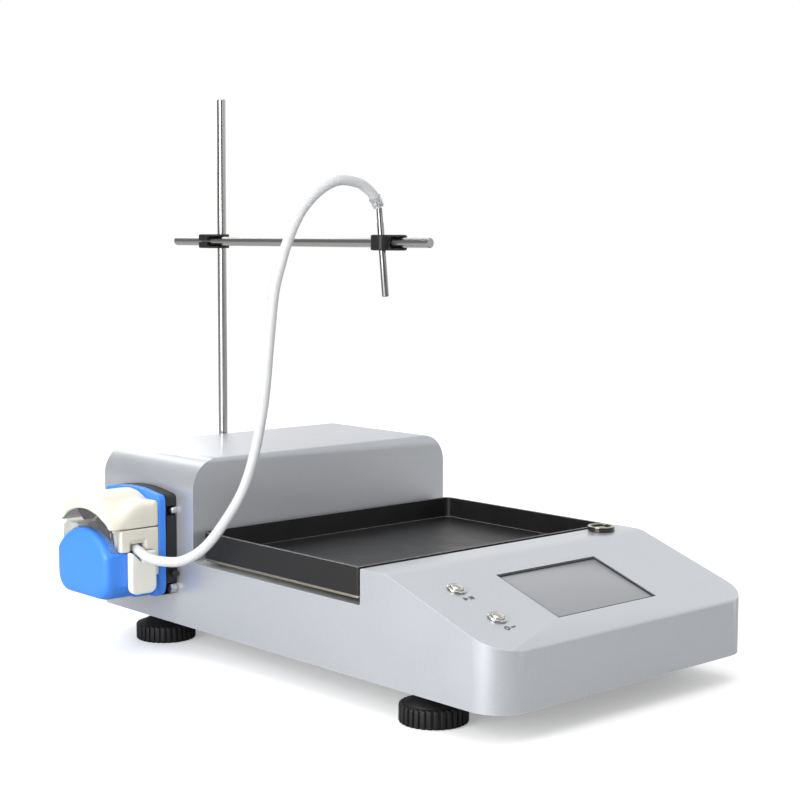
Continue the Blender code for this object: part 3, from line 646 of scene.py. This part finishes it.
def moulded(name, voxel, passes):
    """A soft-edged copy of a CAD node: its solid remeshed finely, then relaxed."""
    source = NODES[name]
    obj = bpy.data.objects.new(name + "_skin", source.data.copy())
    bpy.context.scene.collection.objects.link(obj)
    obj.matrix_world = source.matrix_world
    remesh = obj.modifiers.new("remesh", "REMESH")
    remesh.mode = "VOXEL"
    remesh.voxel_size = voxel * MM
    bpy.context.view_layer.update()
    graph = bpy.context.evaluated_depsgraph_get()
    mesh = bpy.data.meshes.new_from_object(obj.evaluated_get(graph), depsgraph=graph)
    obj.modifiers.clear()
    obj.data = mesh
    bm = bmesh.new()
    bm.from_mesh(mesh)
    relax(bm, bm.verts, passes)
    if name == "flip_cover":
        relax(bm, cover_corners(bm), CORNER_PASSES)
    bm.to_mesh(mesh)
    bm.free()
    for face in mesh.polygons:
        face.use_smooth = True
    mesh.materials.clear()
    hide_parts(name)
    return obj


# Node: voxel in millimetres, and smoothing passes.
MOULDED = {
    "flip_cover": (0.8, 8),
    "pump_front_cover": (0.8, 6),
    "pump_rear_body": (0.8, 3),
    "tube_holder_outlet": (0.6, 3),
    "tube_holder_inlet": (0.6, 3),
    "tube_clamp_outlet": (0.6, 8),
    "tube_clamp_inlet": (0.6, 8),
    "mast_clip": (0.5, 4),
    "nozzle_clip": (0.5, 12),
    "occlusion_bed": (0.8, 12),
    "clear_window": (0.6, 6),
}


def dress_nodes():
    """Gives every CAD node and both hoses their looks."""
    for name, obj in NODES.items():
        if name in TURNED:
            continue
        look = M[NODE_LOOK.get(name, "silicone")]
        if name in MOULDED:
            skin = moulded(name, *MOULDED[name])
            skin.data.materials.append(look)
            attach(skin, BODY_OF[name])
            continue
        obj.data.materials.clear()
        obj.data.materials.append(look)
        soften(obj, NODE_BEVEL.get(name, 0.0))
    for hose in HOSES:
        hose.data.materials.append(M["silicone"])


# ---------------------------------------------------------------- detailed pieces


def turned(name, profile, base, axis=(0.0, 0.0, 1.0), sides=64, ring=False):
    """A turned piece from (radius, height) points up its outer side, on an axis through base."""
    bm = bmesh.new()
    turn = Vector((0.0, 0.0, 1.0)).rotation_difference(Vector(axis)).to_matrix()
    rows = []
    for r, h in profile:
        row = []
        for k in range(sides if r > 0 else 1):
            t = 2 * math.pi * k / sides
            row.append(bm.verts.new(turn @ Vector((r * math.cos(t), r * math.sin(t), h)) + Vector(base)))
        rows.append(row)
    pairs = list(zip(rows[:-1], rows[1:]))
    if ring:
        pairs.append((rows[-1], rows[0]))
    for low, high in pairs:
        for k in range(sides):
            j = (k + 1) % sides
            corners = [low[k % len(low)], low[j % len(low)], high[j % len(high)], high[k % len(high)]]
            bm.faces.new(list(dict.fromkeys(corners)))
    bmesh.ops.recalc_face_normals(bm, faces=bm.faces)
    return mesh_object(name, bm, 40)


def slab(name, outline, place, low, high, sharp=35):
    """A flat piece: place turns each (u, v) of the outline, and a height, into housing millimetres."""
    bm = bmesh.new()
    bottom = [bm.verts.new(place(u, v, low)) for u, v in outline]
    top = [bm.verts.new(place(u, v, high)) for u, v in outline]
    for i in range(len(outline)):
        j = (i + 1) % len(outline)
        bm.faces.new((bottom[i], bottom[j], top[j], top[i]))
    bm.faces.new(list(reversed(bottom)))
    bm.faces.new(top)
    bmesh.ops.recalc_face_normals(bm, faces=bm.faces)
    return mesh_object(name, bm, sharp)


def frame_ring(name, outer, inner, place, low, high):
    """A flat ring between two outlines of the same number of points."""
    bm = bmesh.new()
    rows = []
    for outline, h in ((outer, low), (outer, high), (inner, high), (inner, low)):
        rows.append([bm.verts.new(place(u, v, h)) for u, v in outline])
    count = len(outer)
    for k in range(4):
        a, b = rows[k], rows[(k + 1) % 4]
        for i in range(count):
            j = (i + 1) % count
            bm.faces.new((a[i], a[j], b[j], b[i]))
    bmesh.ops.recalc_face_normals(bm, faces=bm.faces)
    return mesh_object(name, bm)


def corner_arc(cu, cv, r, start, steps=5):
    """A quarter circle of steps + 1 points, from start degrees on."""
    turns = [math.radians(start + 90 * k / steps) for k in range(steps + 1)]
    return [(cu + r * math.cos(t), cv + r * math.sin(t)) for t in turns]


def rounded_box(u0, v0, u1, v1, r):
    return (
        corner_arc(u1 - r, v1 - r, r, 0)
        + corner_arc(u0 + r, v1 - r, r, 90)
        + corner_arc(u0 + r, v0 + r, r, 180)
        + corner_arc(u1 - r, v0 + r, r, 270)
    )


def circle(cu, cv, r, sides=32):
    turns = [2 * math.pi * k / sides for k in range(sides)]
    return [(cu + r * math.cos(t), cv + r * math.sin(t)) for t in turns]


def finish_piece(obj, look, body, slot, *nodes):
    obj.data.materials.append(M[look])
    if nodes:
        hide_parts(*nodes)
    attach(obj, body)
    return obj


def middle_of(name):
    low, high = box_mm(name)
    return (low + high) / 2


PANEL_UP = -Vector(JOINTS["upper_button_press"]["axis"]).normalized()
PANEL_RISE = PANEL_UP.cross(Vector((-1.0, 0.0, 0.0))).normalized()
if PANEL_RISE.z < 0:
    PANEL_RISE = -PANEL_RISE
BUSH_DEPTH = 6.2
PANEL_AT = middle_of("button_bush_upper") + PANEL_UP * BUSH_DEPTH


def on_panel(x, rise, height):
    """Housing millimetres from X, a distance up the slope from the upper button, and a height over it."""
    point = PANEL_AT + PANEL_RISE * rise + PANEL_UP * height
    return Vector((x, point.y, point.z))


# Outlines of turned pieces: (radius, height) points up the outer side.
BUSH_OUTLINE = [
    (5.0, -13.9), (5.7, -13.9), (5.7, 0.32), (7.2, 0.32), (7.22, 0.7), (7.0, 1.15), (6.6, 1.42),
    (6.1, 1.54), (5.6, 1.5), (5.2, 1.3), (5.0, 1.0),
]
CAP_OUTLINE = [
    (0.0, -9.9), (4.55, -9.9), (4.55, 1.35), (4.45, 1.62), (4.2, 1.86), (3.8, 2.1), (3.2, 2.36),
    (2.4, 2.6), (1.5, 2.77), (0.7, 2.85), (0.0, 2.88),
]


def make_buttons():
    """Both push buttons: a chrome ring in the panel and a crowned cap that moves."""
    for tag in ("upper", "lower"):
        base = middle_of("button_bush_" + tag) + PANEL_UP * BUSH_DEPTH
        ring_node = "button_bush_" + tag
        ring_piece = turned(ring_node + "_ring", BUSH_OUTLINE, base, PANEL_UP, ring=True)
        finish_piece(ring_piece, "chrome", "housing", ring_node, ring_node)
        cap_node = "button_" + tag
        cap_piece = turned(cap_node + "_cap", CAP_OUTLINE, base, PANEL_UP)
        finish_piece(cap_piece, "chrome", BODY_OF[cap_node], cap_node, cap_node)


ICON_DOWN = -13.3
ICON_RIGHT = -2.4
ICON_THICK = (-0.05, 0.06)


def make_icons():
    """Plain pictograms below the buttons: a triangle with two bars, and a ring with a dash."""
    x0 = middle_of("button_upper").x + ICON_RIGHT
    start = [(x0 - 2.2, ICON_DOWN - 2.0), (x0 - 2.2, ICON_DOWN + 2.0), (x0 + 1.4, ICON_DOWN)]
    finish_piece(slab("icon_start", start, on_panel, *ICON_THICK), "print", "housing", "button_bush_upper")
    for k in (0, 1):
        bar = rounded_box(x0 + 3.2 + 2.2 * k, ICON_DOWN - 1.9, x0 + 4.4 + 2.2 * k, ICON_DOWN + 1.9, 0.2)
        piece = slab("icon_pause_%d" % (k + 1), bar, on_panel, *ICON_THICK)
        finish_piece(piece, "print", "housing", "button_bush_upper")
    drop = (middle_of("button_lower") - middle_of("button_upper")).dot(PANEL_RISE) + ICON_DOWN
    rings = frame_ring(
        "icon_zero", circle(x0 - 0.6, drop, 2.2), circle(x0 - 0.6, drop, 1.45), on_panel, *ICON_THICK
    )
    finish_piece(rings, "print", "housing", "button_bush_lower")
    bar = rounded_box(x0 + 3.2, drop - 0.5, x0 + 7.4, drop + 0.5, 0.2)
    finish_piece(slab("icon_dash", bar, on_panel, *ICON_THICK), "print", "housing", "button_bush_lower")


GASKET_TRIM = 0.35
GASKET_GAP = 0.15
GASKET_EDGE = 1.5
GASKET_DEPTH = (-1.58, -1.1)


def make_screen_frame():
    """Black gasket that shows as a thin line between the glass and the edge of the opening; the black line
    also stands in for the recess's shade, as painted shade.
    """
    low, high = box_mm("screen_glass")
    rise = (middle_of("screen_glass") - PANEL_AT).dot(PANEL_RISE)
    half = (high.y - low.y) / 2 / PANEL_RISE.y - GASKET_TRIM
    v0, v1 = rise - half, rise + half
    gap, edge = GASKET_GAP, GASKET_EDGE
    outer = rounded_box(low.x + gap, v0 + gap, high.x - gap, v1 - gap, 0.5)
    inner = rounded_box(low.x + edge, v0 + edge, high.x - edge, v1 - edge, 0.8)
    ring = frame_ring("screen_gasket_and_shade_line", outer, inner, on_panel, *GASKET_DEPTH)
    finish_piece(ring, "gasket_and_shade", "housing", "display_module")


CUP_OUTLINE = [
    (7.5, -7.9), (8.3, -7.9), (8.3, 0.35), (10.9, 0.35), (10.95, 1.0), (10.95, 3.55), (8.2, 3.55),
    (7.5, 3.3),
]
RIM_OUTLINE = [
    (8.4, 3.6), (10.85, 3.6), (10.95, 3.75), (10.9, 4.0), (10.7, 4.2), (10.3, 4.3), (9.2, 4.3),
    (8.7, 4.2), (8.4, 4.0),
]
VIAL_OUTLINE = [
    (0.0, -7.9), (7.0, -7.9), (7.0, 2.1), (6.4, 2.45), (5.0, 2.8), (3.4, 3.05), (1.7, 3.18), (0.0, 3.2),
]
MARK_OUTLINE = [(2.7, 3.16), (3.1, 3.13), (3.1, 3.24), (2.7, 3.26)]
LEVEL_PROUD = 4.4


def make_level():
    """The bubble level: a black cup, a metal rim, the vial and its ring mark."""
    low, high = box_mm("level_ring")
    base = Vector(((low.x + high.x) / 2, (low.y + high.y) / 2, high.z - LEVEL_PROUD))
    cup = turned("level_cup", CUP_OUTLINE, base, ring=True)
    finish_piece(cup, "vial_dark", "housing", "level_ring", "level_ring")
    rim = turned("level_rim", RIM_OUTLINE, base, ring=True)
    finish_piece(rim, "bronze", "housing", "level_ring")
    vial = turned("level_vial", VIAL_OUTLINE, base)
    finish_piece(vial, "vial", "housing", "level_glass", "level_glass")
    mark = turned("level_mark", MARK_OUTLINE, base, ring=True)
    finish_piece(mark, "print", "housing", "level_glass")


FOOT_RIBS = 32
RIB_STEPS = 10
# Grip of a foot: (height, inset, share of the full groove depth).
FOOT_PROFILE = (
    (0.0, 1.2, 0.3), (0.25, 0.5, 0.7), (0.8, 0.12, 1.0), (1.5, 0.0, 1.0), (6.0, 0.0, 1.0),
    (11.6, 0.0, 1.0), (12.4, 0.15, 1.0), (13.0, 0.55, 0.8), (13.3, 1.2, 0.5),
)
# Shoulder and stud above the grip: (radius, height).
FOOT_SHOULDER = (
    (21.6, 13.3), (21.0, 13.5), (20.4, 14.2), (19.6, 14.9), (14.0, 17.6), (12.9, 18.3), (12.0, 19.4),
    (11.2, 21.4), (10.9, 21.8), (10.3, 22.0), (4.2, 22.0), (4.0, 22.2), (4.0, 33.6), (3.6, 34.0),
)
FOOT_GROOVE = 1.75
FOOT_GRIP = 25.0


def groove_share(turn):
    """0 on a rib and 1 in the bottom of a groove, for a turn counted in ribs."""
    phase = abs((turn % 1.0) - 0.5) * 2
    return min(max((phase - 0.56) / 0.24, 0.0), 1.0)


def make_foot(tag):
    """A levelling foot with a ribbed grip, a sloped shoulder and its stud."""
    node = "foot_" + tag
    low, high = box_mm(node)
    base = Vector(((low.x + high.x) / 2, (low.y + high.y) / 2, low.z))
    bm = bmesh.new()
    rows = []
    steps = FOOT_RIBS * RIB_STEPS
    turns = [2 * math.pi * k / steps for k in range(steps)]
    for h, inset, depth in FOOT_PROFILE:
        row = []
        for k, t in enumerate(turns):
            r = FOOT_GRIP - inset - FOOT_GROOVE * depth * groove_share(k / RIB_STEPS)
            row.append(bm.verts.new(base + Vector((r * math.cos(t), r * math.sin(t), h))))
        rows.append(row)
    for r, h in FOOT_SHOULDER:
        rows.append([bm.verts.new(base + Vector((r * math.cos(t), r * math.sin(t), h))) for t in turns])
    for a, b in zip(rows[:-1], rows[1:]):
        for k in range(steps):
            j = (k + 1) % steps
            bm.faces.new((a[k], a[j], b[j], b[k]))
    bm.faces.new(list(reversed(rows[0])))
    bm.faces.new(rows[-1])
    bmesh.ops.recalc_face_normals(bm, faces=bm.faces)
    piece = mesh_object(node + "_knob", bm, 38)
    finish_piece(piece, "black_rough", BODY_OF[node], node, node)


ROD_END = 0.7
ROD_STEP = 15.0


def make_rods():
    """The upright and the cross rod, round and with broken ends."""
    for node, axis in (("mast", Vector((0.0, 0.0, 1.0))), ("cross_rod", Vector((0.0, 1.0, 0.0)))):
        low, high = box_mm(node)
        long = (high - low).dot(axis)
        radius = (high.x - low.x) / 2
        base = (low + high) / 2 - axis * (long / 2)
        rings = max(int(long / ROD_STEP), 2)
        body = [(radius, ROD_END + (long - 2 * ROD_END) * k / rings) for k in range(rings + 1)]
        profile = [(0.0, 0.0), (radius - ROD_END, 0.0)] + body + [(radius - ROD_END, long), (0.0, long)]
        rod = turned(node + "_bar", profile, base, axis)
        finish_piece(rod, NODE_LOOK[node], BODY_OF[node], node, node)


PIN_AT = ((-7.0, -2.0), (7.0, -2.0), (0.0, 3.0))
PIN_DEEP = 9.0
PIN_LONG = 7.0
SCREW_IN = 10.0
SCREW_Z = (34.0, 148.0)
SCREW_OUTLINE = [
    (0.0, 0.5), (1.1, 0.5), (1.25, 1.75), (1.7, 1.7), (2.3, 1.3), (2.7, 0.7), (2.8, 0.0), (0.0, 0.0),
]


def make_rear():
    """The three flat pins inside the power inlet, and the rear panel's four screws."""
    _, high = box_mm("power_inlet")
    middle = middle_of("power_inlet")

    def in_inlet(across, up, out):
        return Vector((middle.x + across, high.y - PIN_DEEP + out, middle.z + up))

    for k, (side, rise) in enumerate(PIN_AT):
        pin = rounded_box(side - 1.0, rise - 2.3, side + 1.0, rise + 2.3, 0.3)
        piece = slab("inlet_pin_%d" % (k + 1), pin, in_inlet, 0.0, PIN_LONG)
        finish_piece(piece, "zinc", "housing", "power_inlet")
    panel_low, panel_high = box_mm("rear_panel")
    spots = [(x, z) for x in (panel_low.x + SCREW_IN, panel_high.x - SCREW_IN) for z in SCREW_Z]
    for k, (x, z) in enumerate(spots):
        base = Vector((x, panel_high.y, z))
        screw = turned("rear_screw_%d" % (k + 1), SCREW_OUTLINE, base, (0.0, 1.0, 0.0), 40)
        finish_piece(screw, "zinc", "housing", "rear_panel")


SLEEVE_OUTLINE = [(4.15, 0.0), (4.7, 0.0), (4.85, 0.4), (4.85, 7.6), (4.7, 8.0), (4.15, 8.0)]
SLEEVE_BACK = 9.0


def make_hose_end():
    """Short clear sleeve where the hose grips the top of the nozzle."""
    tip = Vector(HOSE_ROUTE[-1])
    along = (Vector(HOSE_ROUTE[-1]) - Vector(HOSE_ROUTE[-2])).normalized()
    piece = turned("hose_sleeve", SLEEVE_OUTLINE, tip - along * SLEEVE_BACK, along, 48, ring=True)
    finish_piece(piece, "clear", "nozzle_carrier", "hose_drop")


CORNER_TAGS = ("front_left", "front_right", "rear_left", "rear_right")
TURNED = ["level_ring", "level_glass", "mast", "cross_rod"]
TURNED += ["button_" + tag for tag in ("bush_upper", "bush_lower", "upper", "lower")]
TURNED += ["foot_" + tag for tag in CORNER_TAGS]

make_buttons()
make_icons()
make_screen_frame()
make_level()
for foot_tag in CORNER_TAGS:
    make_foot(foot_tag)
make_hose_end()
make_rear()
make_rods()
dress_nodes()

# ---------------------------------------------------------------- stage


ROOM_LEVEL = 0.16
# Extra light from the room by direction.
ROOM_SIDES = (
    ((0.0, 1.0, 0.0), 0.12),
    ((1.0, 0.0, 0.0), 0.92),
)
FLOOR_SHADE = 0.5
FLOOR_GLOW = 0.3
FLOOR_HALF = 6.0
FLOOR_DROP = 0.0002
SUN_POWER = 1.5
SUN_FROM = (-0.25, 0.05, 1.0)
SUN_SPREAD = math.radians(75)
# Area lights: name, place in housing millimetres, side in metres, watts.
SOFTBOXES = (
    ("left_high", (-1500, -300, 700), 1.0, 20.0),
    ("left_low", (-800, -80, 10), 0.7, 2.5),
    ("front_high", (200, -1500, 900), 1.0, 3.0),
    ("behind", (300, 1400, 900), 1.0, 6.0),
)

LAMP_TARGET = (0, 0, 100)


class Sky:
    """The world's shader: a white backdrop, and the room's light by direction."""

    def __init__(self, world):
        self.tree = world.node_tree
        self.direction = self.tree.nodes.new("ShaderNodeTexCoord").outputs["Generated"]

    def calc(self, operation, a, b):
        made = self.tree.nodes.new("ShaderNodeMath")
        made.operation = operation
        for socket, value in zip(made.inputs, (a, b)):
            if isinstance(value, bpy.types.NodeSocket):
                self.tree.links.new(value, socket)
            else:
                socket.default_value = value
        return made.outputs["Value"]

    def towards(self, axis):
        made = self.tree.nodes.new("ShaderNodeVectorMath")
        made.operation = "DOT_PRODUCT"
        made.inputs[1].default_value = axis
        self.tree.links.new(self.direction, made.inputs[0])
        return self.calc("MAXIMUM", made.outputs["Value"], 0.0)


def make_world():
    """A white backdrop in a room whose walls are not all as bright."""
    data = bpy.data.worlds.new("studio")
    data.use_nodes = True
    sky = Sky(data)
    level = ROOM_LEVEL
    for axis, amount in ROOM_SIDES:
        level = sky.calc("ADD", level, sky.calc("MULTIPLY", sky.towards(axis), amount))
    seen = sky.tree.nodes.new("ShaderNodeLightPath").outputs["Is Camera Ray"]
    background = sky.tree.nodes["Background"]
    sky.tree.links.new(sky.calc("MAXIMUM", seen, level), background.inputs["Strength"])
    background.inputs["Color"].default_value = (1.0, 1.0, 1.0, 1.0)
    return data


def floor_material():
    """Pale table top that throws back less light than it shows."""
    g = Graph("pale_floor")
    seen = g.put("ShaderNodeLightPath").outputs["Is Camera Ray"]
    g.set(Base_Color=g.blend(seen, (FLOOR_SHADE,) * 3, (0.9, 0.9, 0.9)), Roughness=0.7)
    return g.set(Emission_Color=(1.0, 1.0, 1.0, 1.0), Emission_Strength=g.calc("MULTIPLY", seen, FLOOR_GLOW))


def make_stage():
    """The floor, the world, the soft ceiling light and four softboxes."""
    mesh = bpy.data.meshes.new("floor")
    bm = bmesh.new()
    bmesh.ops.create_grid(bm, x_segments=1, y_segments=1, size=FLOOR_HALF)
    bm.to_mesh(mesh)
    bm.free()
    floor = bpy.data.objects.new("floor", mesh)
    bpy.context.scene.collection.objects.link(floor)
    floor.data.materials.append(floor_material())
    floor.location.z = -FLOOR_DROP

    scene = bpy.context.scene
    scene.world = make_world()
    scene.view_settings.view_transform = "Standard"
    sun = bpy.data.lights.new("ceiling", "SUN")
    sun.energy = SUN_POWER
    sun.angle = SUN_SPREAD
    lamp = bpy.data.objects.new("ceiling", sun)
    scene.collection.objects.link(lamp)
    lamp.rotation_euler = Vector(SUN_FROM).to_track_quat("Z", "Y").to_euler()
    for name, place, size, power in SOFTBOXES:
        data = bpy.data.lights.new(name, "AREA")
        data.energy = power
        data.size = size
        lamp = bpy.data.objects.new(name, data)
        lamp.visible_camera = False
        scene.collection.objects.link(lamp)
        start = world(place)
        aim = (world(LAMP_TARGET) - start).to_track_quat("-Z", "Y")
        lamp.matrix_world = Matrix.Translation(start) @ aim.to_matrix().to_4x4()


make_stage()
